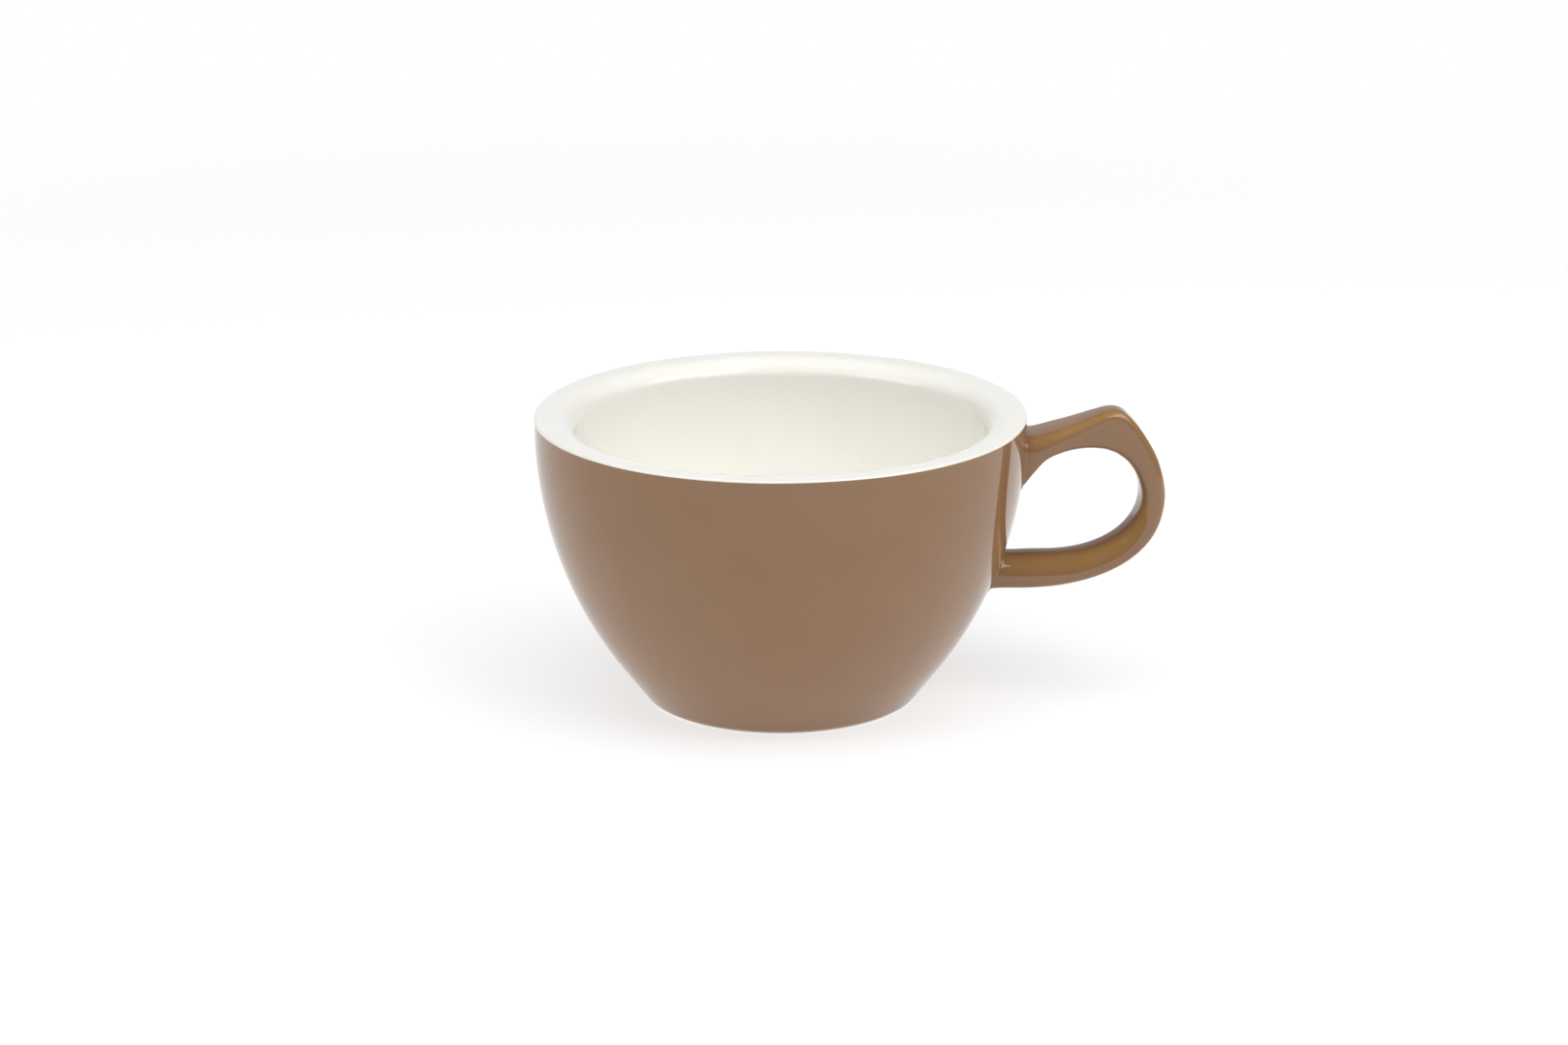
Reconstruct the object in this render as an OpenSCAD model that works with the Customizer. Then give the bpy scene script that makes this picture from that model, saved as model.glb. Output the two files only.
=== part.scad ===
// Cappuccino cup: a thick porcelain bowl with a separately cast loop handle,
// joined with slip and covered by a white liner glaze and a brown outside glaze.
// Origin at the centre of the foot on the table, +Z up, handle towards +X.
// All outside sizes are taken over the glaze.

/* [Bowl] */
// Diameter over the rim
rim_d = 95; // [88:1:104]
// Height from the table to the top of the rim
cup_h = 56.5; // [54:0.5:64]
// Diameter of the foot at the table
foot_d = 53; // [47:1:58]
// Height of the straight band below the rim
lip_h = 2.5; // [2:0.5:6]
// Radius of the belly, as a share of one arc from rim to foot
belly_share = 0.977; // [0.93:0.001:0.99]
// Thickness of the wall
wall_t = 7.8; // [6:0.1:9]
// Thickness of the floor
floor_t = 6.5; // [5:0.5:9]
// Radius between floor and wall, inside
floor_round = 11; // [6:1:14]
// Radius of the lip towards the inside
lip_round = 3.4; // [2:0.1:4]
// Radius of the rim's outer edge
edge_round = 0.4; // [0.4:0.1:0.8]

/* [Foot] */
// Width of the ring that stands on the table
foot_w = 4; // [3:0.5:6]
// Radius of the foot's outer edge
foot_round = 0.8; // [0.6:0.1:1.2]
// Depth of the recess under the foot
recess_h = 2; // [1.5:0.5:3]
// Radius at the top of the recess
recess_round = 1.2; // [0.8:0.1:1.4]
// Height of the bare porcelain below the outside glaze
bare_h = 0.4; // [0.2:0.1:0.5]

/* [Handle] */
// How far the loop stands out from the rim
handle_reach = 27.2; // [24:0.1:31]
// Height of the loop's underside above the table
handle_low = 21.2; // [18:0.1:24]
// Height of the thumb peak above the rim
thumb_rise = -0.3; // [-2:0.1:2]
// Thickness from the thumb peak to the top of the finger hole
thumb_t = 7.2; // [5.6:0.1:8]
// Thickness of the loop at its outermost point
grip_t = 4.5; // [4:0.1:6]
// Thickness of the lower arm
lower_arm_t = 6.3; // [5.4:0.1:7]
// Width of the upper arm at the bowl
upper_w = 13; // [11:0.1:15]
// Width of the loop at the thumb peak
thumb_w = 6.6; // [6:0.1:10]
// Width of the lower arm at the bowl
lower_w = 10.4; // [9:0.1:12]
// Radius of the upper arm's top edges at the bowl
arm_r = 2.9; // [2:0.1:3]
// Radius of the loop's edges at the thumb peak
thumb_r = 1.6; // [1:0.1:2]
// Radius of the lower arm's bottom edges
under_r = 1.2; // [1:0.1:1.6]
// Radius of the lower arm's edges towards the finger hole
finger_r = 4.2; // [3:0.1:4.2]
// Radius where the lower arm meets the bowl
root_round = 1; // [0.8:0.1:2.4]

/* [Glaze and slip] */
// Thickness of every glaze coat
glaze_t = 0.25; // [0.2:0.05:0.35]
// Thickness of the slip joints
slip_t = 0.7; // [0.5:0.1:1]

/* [Hidden] */
$fn = 180;

porcelain_colour = "#e9e4d8";
slip_colour = "#dcd3c2";
white_glaze_colour = "#f3f2ec";
brown_glaze_colour = "#8f735c";

// Overrun of every cut past the face that it leaves
overrun = 1;

// The belly is an arc, upright where it meets the straight lip band
rim_r = rim_d / 2;
foot_r = foot_d / 2;
arc_z = cup_h - lip_h;
arc_r = belly_share * (pow(rim_r - foot_r, 2) + pow(arc_z, 2)) / (2 * (rim_r - foot_r));
arc_x = rim_r - arc_r;
bore_r = rim_r - wall_t;
// Below the belly the wall runs straight to the foot, at this lean from upright
wall_lean = atan2(arc_z, foot_r - arc_x) - acos(arc_r / norm([foot_r - arc_x, arc_z]));
colour_line_z = cup_h - edge_round;
recess_r = foot_r - foot_w;

// Height of the loop, from its underside to the thumb peak
handle_h = cup_h + thumb_rise - handle_low;
// Level, height and reach of the finger hole
hole_low = handle_low + lower_arm_t;
hole_h = handle_h - thumb_t - lower_arm_t;
hole_reach = handle_reach - grip_t;
// Depth to which the roots run into the wall before they are cut to the bowl
root_depth = 3;

// Stations round the loop, from the upper root to the lower one.
// Along is a share of the reach beyond the rim, up a share of the height.
outer_edge_shares = [
    [0.08, 0.877], [0.199, 0.901], [0.338, 0.933], [0.476, 0.97], [0.595, 0.998],
    [0.674, 0.994], [0.742, 0.958], [0.843, 0.861], [0.949, 0.71], [1, 0.527],
    [0.965, 0.359], [0.871, 0.234], [0.721, 0.134], [0.52, 0.06], [0.289, 0.016], [0.06, 0]
];
inner_edge_shares = [
    [0.038, 0.785], [0.16, 0.918], [0.33, 0.983], [0.501, 1], [0.649, 0.982],
    [0.727, 0.957], [0.795, 0.923], [0.888, 0.843], [0.964, 0.71], [1, 0.533],
    [0.962, 0.363], [0.858, 0.216], [0.703, 0.103], [0.515, 0.031], [0.3, 0.001], [0.077, 0]
];
// Width at each station: shares of the extra width at the upper and at the lower arm
width_shares = [
    [1, 0], [0.9, 0], [0.65, 0], [0.35, 0], [0.1, 0], [0, 0], [0, 0], [0, 0.1], [0, 0.35],
    [0, 0.6], [0, 0.75], [0, 0.85], [0, 0.92], [0, 0.97], [0, 1], [0, 1]
];
// Radius of the inner edges at each station: share of the way from thumb peak to lower arm
finger_shares = [
    0, 0, 0, 0, 0, 0, 0, 0, 0.05, 0.2, 0.45, 0.7, 0.9, 1, 1, 1
];
// Levels at which the upper arm's top and its web run into the wall, and at which
// they end inside it: shares of the loop's height
upper_top_shares = [0.874, 0.862];
upper_web_shares = [0.6, 0.5];
// Rings between two stations and facets round each edge of a section
steps = 3;
corner_steps = 5;
section_points = 4 * (corner_steps + 1);
// Largest share of the loop's thickness that its two edge radii take up
edge_limit_share = 0.94;

// Radius of the outside wall at a level: lip band, belly and straight lower wall
function wall_r(z) =
    let (
        belly_x = arc_x + arc_r * cos(wall_lean),
        belly_z = arc_z - arc_r * sin(wall_lean)
    )
    z >= arc_z ? rim_r
    : z >= belly_z ? arc_x + sqrt(pow(arc_r, 2) - pow(z - arc_z, 2))
    : belly_x - (belly_z - z) * tan(wall_lean);

// The end of one edge of the upper arm: inside the wall, then on it
function upper_end(shares) =
    let (
        wall_z = handle_low + shares[0] * handle_h,
        deep_z = handle_low + shares[1] * handle_h
    )
    [[wall_r(deep_z) - root_depth, deep_z], [wall_r(wall_z), wall_z]];

// The end of one edge of the lower arm, which turns up or down into the wall
function lower_end(z, turn) =
    let (
        wall_z = z + turn * root_round,
        deep_z = wall_z + turn * root_round
    )
    [[wall_r(z) + root_round, z], [wall_r(wall_z), wall_z], [wall_r(deep_z) - root_depth, deep_z]];

outer_edge = concat(
    upper_end(upper_top_shares),
    [for (s = outer_edge_shares) [rim_r + s[0] * handle_reach, handle_low + s[1] * handle_h]],
    lower_end(handle_low, -1)
);
inner_edge = concat(
    upper_end(upper_web_shares),
    [for (s = inner_edge_shares) [rim_r + s[0] * hole_reach, hole_low + s[1] * hole_h]],
    lower_end(hole_low, 1)
);
widths = concat(
    [upper_w, upper_w],
    [for (s = width_shares) thumb_w + s[0] * (upper_w - thumb_w) + s[1] * (lower_w - thumb_w)],
    [lower_w, lower_w, lower_w]
);
outer_radii = concat(
    [arm_r, arm_r],
    [for (s = width_shares) thumb_r + s[0] * (arm_r - thumb_r) + s[1] * (under_r - thumb_r)],
    [under_r, under_r, under_r]
);
inner_radii = concat(
    [thumb_r, thumb_r],
    [for (s = finger_shares) thumb_r + s * (finger_r - thumb_r)],
    [finger_r, finger_r, finger_r]
);

// Smooth curve through a list of values, sampled with the given number of steps
function between(a, b, c, d, t) =
    b + t / 2 * (c - a + t * (2 * a - 5 * b + 4 * c - d + t * (3 * (b - c) + d - a)));
function smooth(list) =
    let (last = len(list) - 1)
    concat(
        [for (i = [0:last - 1], k = [0:steps - 1])
            between(
                list[max(i - 1, 0)], list[i], list[i + 1], list[min(i + 2, last)], k / steps
            )],
        [list[last]]
    );

outer_curve = smooth(outer_edge);
inner_curve = smooth(inner_edge);
width_curve = smooth(widths);
outer_radius_curve = smooth(outer_radii);
inner_radius_curve = smooth(inner_radii);
rings = len(outer_curve);
// Rings of each root, from inside the wall to the arm
root_rings = 3 * steps;

// One section of the loop, a rounded rectangle set in from the glaze by a skin
function ring(i, skin) =
    let (
        centre = (outer_curve[i] + inner_curve[i]) / 2,
        half = (outer_curve[i] - inner_curve[i]) / 2,
        up = half / norm(half),
        h = norm(half) - skin,
        w = width_curve[i] / 2 - skin,
        outer_r = min(outer_radius_curve[i] - skin, h),
        inner_r = min(inner_radius_curve[i] - skin, 2 * h * edge_limit_share - outer_r)
    )
    [for (q = [0:3], k = [0:corner_steps])
        let (
            a = 90 * (q + k / corner_steps),
            r = q < 2 ? outer_r : inner_r,
            side = (q == 0 || q == 3 ? 1 : -1) * (w - r) + r * cos(a),
            rise = (q < 2 ? 1 : -1) * (h - r) + r * sin(a),
            p = centre + up * rise
        )
        [p[0], side, p[1]]];

function ring_points(skin, first, last) = [for (i = [first:last]) each ring(i, skin)];

// Triangles of a tube of that many rings, whose points start at an index
function tube_faces(start, count, flip) =
    [for (i = [0:count - 2], k = [0:section_points - 1], half = [0, 1])
        let (
            n = (k + 1) % section_points,
            a = start + i * section_points + k,
            b = start + i * section_points + n,
            c = a + section_points,
            d = b + section_points,
            t = half == 0 ? [d, b, a] : [c, d, a]
        )
        flip ? [t[2], t[1], t[0]] : t];

// Triangles that close a tube's end
function cap_faces(start, flip) =
    [for (k = [1:section_points - 2])
        flip ? [start, start + k, start + k + 1] : [start + k + 1, start + k, start]];

// The solid loop, or a stretch of its rings, set in from the glaze surface by a skin
module loop(skin, first = 0, last = rings - 1) {
    count = last - first + 1;
    polyhedron(
        ring_points(skin, first, last),
        concat(
            tube_faces(0, count, false),
            cap_faces(0, true),
            cap_faces((count - 1) * section_points, false)
        )
    );
}

// The two stretches of the loop that run into the wall
module upper_root(skin) {
    loop(skin, 0, root_rings);
}

module lower_root(skin) {
    loop(skin, rings - 1 - root_rings, rings - 1);
}

// The glaze coat round the loop, as a sleeve that is open at both roots
module sleeve(skin) {
    inside = rings * section_points;
    last = (rings - 1) * section_points;
    rims = [for (k = [0:section_points - 1], end = [0, last], half = [0, 1])
        let (
            n = (k + 1) % section_points,
            a = end + k,
            b = end + n,
            c = a + inside,
            d = b + inside,
            t = half == 0 ? [d, a, b] : [d, c, a]
        )
        end == 0 ? t : [t[2], t[1], t[0]]];
    polyhedron(
        concat(ring_points(0, 0, rings - 1), ring_points(skin, 0, rings - 1)),
        concat(tube_faces(0, rings, false), tube_faces(inside, rings, true), rims)
    );
}

// Half section of a belly: the disc of an arc from a level up into the lip band
module belly(r, low_z) {
    intersection() {
        translate([arc_x, arc_z]) circle(r);
        translate([0, low_z]) square([arc_x + r, arc_z + lip_h / 2 - low_z]);
    }
}

// Half section of the whole cup as if it were not hollow, set in by a skin
module outside(skin) {
    r = rim_r - skin;
    top = cup_h - skin;
    edge = edge_round - skin;
    belly_r = arc_r - skin;
    belly_x = arc_x + belly_r * cos(wall_lean);
    belly_z = arc_z - belly_r * sin(wall_lean);
    foot_x = arc_x + (belly_r - foot_round - (arc_z - foot_round) * sin(wall_lean)) / cos(wall_lean);
    touch_x = foot_x + foot_round * cos(wall_lean);
    touch_z = foot_round - foot_round * sin(wall_lean);
    belly(belly_r, belly_z);
    polygon([[0, touch_z], [touch_x, touch_z], [belly_x, belly_z], [0, arc_z]]);
    translate([foot_x, foot_round]) circle(foot_round);
    square([foot_x, 2 * foot_round]);
    translate([0, arc_z]) square([r, top - edge - arc_z]);
    translate([0, arc_z]) square([r - edge, top - arc_z]);
    translate([r - edge, top - edge]) circle(edge);
}

// Half section of the drinking space, larger by a skin than the glazed one
module drink(skin) {
    wall_in_r = arc_r - wall_t;
    belly_r = wall_in_r + skin;
    corner_r = floor_round + skin;
    corner_z = floor_t + floor_round;
    corner_x = arc_x + sqrt(pow(belly_r - corner_r, 2) - pow(corner_z - arc_z, 2));
    corner_top_z = arc_z + (corner_z - arc_z) * belly_r / (belly_r - corner_r);
    // The lip rolls out of the straight band, or out of the belly if it starts below the band
    lip_z = cup_h - lip_round;
    drop = min(lip_z - arc_z, 0);
    lip_x = arc_x + sqrt(pow(wall_in_r + lip_round, 2) - pow(drop, 2));
    lip_low_z = drop < 0 ? arc_z + drop * belly_r / (wall_in_r + lip_round) : lip_z;
    belly(belly_r, corner_top_z);
    translate([corner_x, corner_z]) circle(corner_r);
    translate([0, floor_t - skin]) square([corner_x, 2 * corner_r]);
    translate([0, arc_z]) square([bore_r + skin, lip_h + overrun]);
    difference() {
        translate([0, lip_low_z]) square([lip_x, cup_h - lip_low_z + overrun]);
        translate([lip_x, lip_z]) circle(lip_round - skin);
    }
}

// Half section of the recess under the foot, larger by a skin than the glazed one
module recess(skin) {
    r = recess_r + skin;
    top = recess_h + skin;
    corner = recess_round + skin;
    translate([0, -overrun]) square([r, top - corner + overrun]);
    translate([0, -overrun]) square([r - corner, top + overrun]);
    translate([r - corner, top - corner]) circle(corner);
}

module cup_section(skin) {
    difference() {
        outside(skin);
        drink(skin);
        recess(skin);
    }
}

// The cup's outside as a solid, for cutting the handle's roots to the wall
module outside_solid(skin) {
    rotate_extrude() outside(skin);
}

// A layer of slip on the bare wall
module slip_layer() {
    difference() {
        outside_solid(glaze_t - slip_t);
        outside_solid(glaze_t);
    }
}

module bowl() {
    color(porcelain_colour) rotate_extrude() cup_section(glaze_t);
}

module handle() {
    color(porcelain_colour) difference() {
        loop(glaze_t);
        outside_solid(glaze_t - slip_t);
    }
}

module upper_handle_joint() {
    color(slip_colour) intersection() {
        upper_root(glaze_t);
        slip_layer();
    }
}

module lower_handle_joint() {
    color(slip_colour) intersection() {
        lower_root(glaze_t);
        slip_layer();
    }
}

module liner_glaze() {
    color(white_glaze_colour) rotate_extrude() difference() {
        union() {
            intersection() {
                outside(0);
                drink(glaze_t);
            }
            difference() {
                outside(0);
                outside(glaze_t);
                square([rim_d, colour_line_z]);
            }
        }
        drink(0);
    }
}

module bowl_glaze() {
    color(brown_glaze_colour) difference() {
        rotate_extrude() intersection() {
            difference() {
                outside(0);
                outside(glaze_t);
            }
            translate([0, bare_h]) square([rim_d, colour_line_z - bare_h]);
        }
        upper_root(glaze_t);
        lower_root(glaze_t);
    }
}

module handle_glaze() {
    color(brown_glaze_colour) difference() {
        sleeve(glaze_t);
        outside_solid(0);
    }
}

module base_glaze() {
    color(brown_glaze_colour) rotate_extrude() difference() {
        recess(glaze_t);
        recess(0);
        translate([0, -2 * overrun]) square([rim_d, bare_h + 2 * overrun]);
    }
}

bowl();
handle();
upper_handle_joint();
lower_handle_joint();
liner_glaze();
bowl_glaze();
handle_glaze();
base_glaze();
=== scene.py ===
"""Looks of a cappuccino cup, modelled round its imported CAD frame.

The cup is porcelain: a thick round bowl and a cast loop handle, a white liner glaze inside and over
the lip, and a brown glaze outside. The round pieces are spun from half sections and the handle's coat
is bridged from rounded sections along the loop. Sizes are in millimetres and Blender is in metres.
"""

import logging
import math
from collections.abc import Sequence
from dataclasses import dataclass
from enum import Enum

import bmesh
import bpy
from mathutils import Matrix, Vector


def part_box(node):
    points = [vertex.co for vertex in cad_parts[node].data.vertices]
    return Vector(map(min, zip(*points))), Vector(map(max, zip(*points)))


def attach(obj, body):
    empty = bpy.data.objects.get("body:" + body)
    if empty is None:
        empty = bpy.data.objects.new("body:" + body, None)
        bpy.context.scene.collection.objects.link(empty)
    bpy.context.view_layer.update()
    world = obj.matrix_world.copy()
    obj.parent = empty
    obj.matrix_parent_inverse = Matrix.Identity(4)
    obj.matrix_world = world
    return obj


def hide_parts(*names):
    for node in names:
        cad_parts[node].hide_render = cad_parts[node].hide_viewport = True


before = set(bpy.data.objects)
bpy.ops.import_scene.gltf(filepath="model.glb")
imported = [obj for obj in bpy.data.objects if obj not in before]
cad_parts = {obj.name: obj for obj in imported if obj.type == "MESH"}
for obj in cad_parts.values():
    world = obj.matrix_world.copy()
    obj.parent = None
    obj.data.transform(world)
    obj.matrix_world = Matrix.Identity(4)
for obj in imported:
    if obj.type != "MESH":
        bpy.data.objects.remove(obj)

LOG = logging.getLogger("cup")
MM = 0.001
Point = tuple[float, float]


class Slot(Enum):
    """Names of the record's material slots. The new pieces are given their materials directly, not by
    these.
    """

    PORCELAIN = "porcelain"
    WHITE = "white_glaze"
    BROWN = "brown_glaze"


def box_mm(node: str) -> tuple[Vector, Vector]:
    """Measures a CAD node.

    Args:
        node: The node's name.

    Returns:
        Its lowest and highest corners in millimetres.
    """
    low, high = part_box(node)
    return low / MM, high / MM


def arc(centre: Point, radius: float, start: float, end: float, steps: int) -> list[Point]:
    """Draws an arc of a half section.

    Args:
        centre: Centre, as radius and level.
        radius: Radius of the arc.
        start: Angle of the first point, in degrees from the outward direction.
        end: Angle of the last point.
        steps: Number of chords.

    Returns:
        The points of the arc, both ends included.
    """
    turns = [math.radians(start + (end - start) * i / steps) for i in range(steps + 1)]
    return [(centre[0] + radius * math.cos(t), centre[1] + radius * math.sin(t)) for t in turns]


def line(start: Point, end: Point, steps: int) -> list[Point]:
    """Divides a straight stretch of a half section.

    Args:
        start: First point.
        end: Last point, which is left to the next stretch.
        steps: Number of equal parts.

    Returns:
        The points from the first on, without the last.
    """
    return [tuple(a + (b - a) * i / steps for a, b in zip(start, end)) for i in range(steps)]


def cut_levels(points: list[Point], low: float, high: float) -> list[Point]:
    """Keeps the stretch of a rising outline between two levels.

    Args:
        points: Outline whose level never falls.
        low: Level of the first point that is kept.
        high: Level of the last point that is kept.

    Returns:
        The outline between the levels, with its ends worked out on them.
    """

    def at(level: float) -> Point:
        """Finds the outline's point on a level."""
        for (r0, z0), (r1, z1) in zip(points, points[1:]):
            if z0 <= level <= z1 and z1 > z0:
                return (r0 + (r1 - r0) * (level - z0) / (z1 - z0), level)
        return points[-1] if level > points[-1][1] else points[0]

    return [at(low)] + [p for p in points if low < p[1] < high] + [at(high)]


def smooth_step(low: float, high: float, value: float) -> float:
    """Eases from 0 at low to 1 at high."""
    share = min(max((value - low) / (high - low), 0.0), 1.0)
    return share * share * (3 - 2 * share)


class Bench:
    """Edit-mode work on one piece at a time."""

    TURN = 2 * math.pi
    MERGE = 0.0005 * MM
    NUMBERS = "number"
    CLAY_SHARP = 40.0
    GLAZE_SHARP = 50.0

    @staticmethod
    def clear_selection() -> None:
        """Leaves edit mode and deselects every object."""
        if bpy.context.object and bpy.context.object.mode != "OBJECT":
            bpy.ops.object.mode_set(mode="OBJECT")
        bpy.ops.object.select_all(action="DESELECT")

    @classmethod
    def start(cls, name: str) -> bpy.types.Object:
        """Starts a piece from a small plane at the origin, in edit mode.

        Args:
            name: Name of the piece.

        Returns:
            The new object, active and in edit mode.
        """
        cls.clear_selection()
        bpy.ops.mesh.primitive_plane_add(size=MM)
        piece = bpy.context.object
        piece.name = name
        piece.data.name = name
        bpy.ops.object.mode_set(mode="EDIT")
        return piece

    @classmethod
    def spun(cls, name: str, outline: list[Point], segments: int) -> bpy.types.Object:
        """Spins a half section round the cup's axis.

        Args:
            name: Name of the piece.
            outline: Radius and level of each point. It closes on itself or runs from axis to axis.
            segments: Number of steps round the axis.

        Returns:
            The closed piece, in object mode.
        """
        piece = cls.start(name)
        bpy.ops.mesh.merge(type="CENTER")
        bpy.ops.transform.translate(value=(outline[0][0] * MM, 0.0, outline[0][1] * MM))
        for (r0, z0), (r1, z1) in zip(outline, outline[1:]):
            step = ((r1 - r0) * MM, 0.0, (z1 - z0) * MM)
            bpy.ops.mesh.extrude_region_move(TRANSFORM_OT_translate={"value": step})
        bpy.ops.mesh.select_all(action="SELECT")
        bpy.ops.mesh.spin(steps=segments, angle=cls.TURN, center=(0, 0, 0), axis=(0, 0, 1))
        cls.close()
        return piece

    @classmethod
    def close(cls) -> None:
        """Merges doubles, turns the faces outwards and goes back to object mode."""
        bpy.ops.mesh.select_all(action="SELECT")
        bpy.ops.mesh.remove_doubles(threshold=cls.MERGE)
        bpy.ops.mesh.normals_make_consistent(inside=False)
        bpy.ops.object.mode_set(mode="OBJECT")

    @classmethod
    def pick(cls, numbers: tuple[int, ...], side: int = 0, number: int | None = None) -> None:
        """Selects the points with given numbers. A point that was just made has the number 0.

        Args:
            numbers: The numbers to select.
            side: 1 or -1 for only the points beyond the origin towards +X or -X, 0 for all.
            number: The number that the selected points get instead.
        """
        bpy.ops.mesh.select_all(action="DESELECT")
        data = bpy.context.object.data
        mesh = bmesh.from_edit_mesh(data)
        layer = mesh.verts.layers.int.get(cls.NUMBERS) or mesh.verts.layers.int.new(cls.NUMBERS)
        for vertex in mesh.verts:
            if vertex[layer] in numbers and (side == 0 or vertex.co.x * side > 0):
                vertex.select = True
                vertex[layer] = vertex[layer] if number is None else number
        mesh.select_flush_mode()
        bmesh.update_edit_mesh(data, loop_triangles=False, destructive=False)

    @classmethod
    def forget_numbers(cls, piece: bpy.types.Object) -> None:
        """Takes the numbers off a piece's points."""
        piece.data.attributes.remove(piece.data.attributes[cls.NUMBERS])

    @staticmethod
    def apply(piece: bpy.types.Object, kind: str, **settings: object) -> None:
        """Adds a modifier to a piece and applies it.

        Args:
            piece: The active object.
            kind: The modifier's type.
            **settings: Its settings.
        """
        modifier = piece.modifiers.new(kind.lower(), kind)
        for key, value in settings.items():
            setattr(modifier, key, value)
        bpy.ops.object.modifier_apply(modifier=modifier.name)

    @staticmethod
    def shade(piece: bpy.types.Object, angle: float) -> None:
        """Shades a piece smooth, with edges sharper than an angle in degrees kept."""
        Bench.clear_selection()
        piece.select_set(True)
        bpy.context.view_layer.objects.active = piece
        bpy.ops.object.shade_smooth_by_angle(angle=math.radians(angle))

    @staticmethod
    def mark(piece: bpy.types.Object, name: str, values: list[float]) -> None:
        """Writes one number per vertex for a material to read."""
        attribute = piece.data.attributes.new(name, "FLOAT", "POINT")
        attribute.data.foreach_set("value", values)


@dataclass
class CupForm:
    """The half sections of the bowl. Outside sizes are taken over the glaze."""

    foot_r: float = 26.5
    lip_h: float = 2.5
    belly_share: float = 0.977
    wall_t: float = 7.8
    floor_t: float = 6.5
    floor_round: float = 11.0
    lip_round: float = 3.4
    lip_spread: float = 1.6
    edge_round: float = 0.4
    foot_w: float = 4.0
    foot_round: float = 0.8
    recess_h: float = 2.0
    recess_round: float = 1.2
    glaze_t: float = 0.25
    corner_steps: int = 14
    belly_steps: int = 48
    inside_steps: int = 56
    lip_steps: int = 24
    edge_steps: int = 8
    recess_steps: int = 10
    wall_steps: int = 8
    flat_steps: int = 6
    band_steps: int = 4

    def __post_init__(self) -> None:
        """Takes the overall sizes from the frame and derives the belly's arc and the lower wall's lean."""
        self.rim_r: float = box_mm("bowl_glaze")[1].y
        self.cup_h: float = box_mm("liner_glaze")[1].z
        self.bare_h: float = box_mm("bowl_glaze")[0].z
        self.arc_z: float = self.cup_h - self.lip_h
        spread = self.rim_r - self.foot_r
        self.arc_r: float = self.belly_share * (spread**2 + self.arc_z**2) / (2 * spread)
        self.arc_x: float = self.rim_r - self.arc_r
        foot = (self.foot_r - self.arc_x, self.arc_z)
        self.lean: float = math.atan2(foot[1], foot[0]) - math.acos(self.arc_r / math.hypot(*foot))
        self.colour_z: float = self.cup_h - self.edge_round
        self.recess_r: float = self.foot_r - self.foot_w

    def wall_r(self, level: float) -> float:
        """Gives the outside radius at a level: lip band, belly or straight lower wall."""
        drop = max(self.arc_z - level, 0.0)
        belly = min(drop, self.arc_r * math.sin(self.lean))
        straight = (drop - belly) * math.tan(self.lean)
        return self.arc_x + math.sqrt(self.arc_r**2 - belly**2) - straight

    def wall_slope(self, level: float) -> float:
        """Gives the cosine of the wall's lean from upright at a level."""
        drop = max(self.arc_z - level, 0.0) / self.arc_r
        return math.sqrt(1 - min(drop, math.sin(self.lean)) ** 2)

    def outside(self, skin: float) -> list[Point]:
        """Draws the cup's outside from the foot to the flat of the rim, set in by a skin."""
        edge, side, top = self.edge_round - skin, self.rim_r - skin, self.cup_h - skin
        belly_r, corner = self.arc_r - skin, self.foot_round
        reach = belly_r - corner - (self.arc_z - corner) * math.sin(self.lean)
        lean = math.degrees(self.lean)
        foot_x = self.arc_x + reach / math.cos(self.lean)
        foot = arc((foot_x, corner), corner, -90, -lean, self.corner_steps)
        belly = arc((self.arc_x, self.arc_z), belly_r, -lean, 0, self.belly_steps)
        band = line((side, self.arc_z), (side, top - edge), self.band_steps)[1:]
        rim = arc((side - edge, top - edge), edge, 0, 90, self.edge_steps)
        return foot[:-1] + line(foot[-1], belly[0], self.wall_steps) + belly + band + rim

    def drink(self, skin: float) -> list[Point]:
        """Draws the drinking space from the axis to the flat of the rim, larger by a skin."""
        wall_r = self.arc_r - self.wall_t
        belly_r, corner = wall_r + skin, self.floor_round + skin
        corner_z, lip_z = self.floor_t + self.floor_round, self.cup_h - self.lip_round
        corner_x = self.arc_x + math.sqrt((belly_r - corner) ** 2 - (corner_z - self.arc_z) ** 2)
        touch = math.degrees(math.atan2(corner_z - self.arc_z, corner_x - self.arc_x))
        roll = math.asin((lip_z - self.arc_z) / (wall_r + self.lip_round))
        lip_x = self.arc_x + (wall_r + self.lip_round) * math.cos(roll)
        roll = math.degrees(roll)
        bend = arc((corner_x, corner_z), corner, -90, touch, self.corner_steps)
        belly = arc((self.arc_x, self.arc_z), belly_r, touch, roll, self.inside_steps)
        lip = arc((lip_x, lip_z), self.lip_round - skin, 180 + roll, 90, self.lip_steps)
        # The round is drawn out towards the rim, so the lip is flatter than a circle.
        lip = [(lip[0][0] + (x - lip[0][0]) * self.lip_spread, z) for x, z in lip]
        floor = line((0, self.floor_t - skin), bend[0], self.wall_steps)
        return floor + bend[:-1] + belly[:-1] + lip

    def recess(self, skin: float) -> list[Point]:
        """Draws the recess under the foot from the table up to the axis, larger by a skin."""
        radius, top, corner = self.recess_r + skin, self.recess_h + skin, self.recess_round + skin
        round_top = arc((radius - corner, top - corner), corner, 0, 90, self.recess_steps)
        ceiling = line(round_top[-1], (0, top), self.flat_steps)[1:]
        return [(radius, 0.0)] + round_top + ceiling + [(0, top)]


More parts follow.
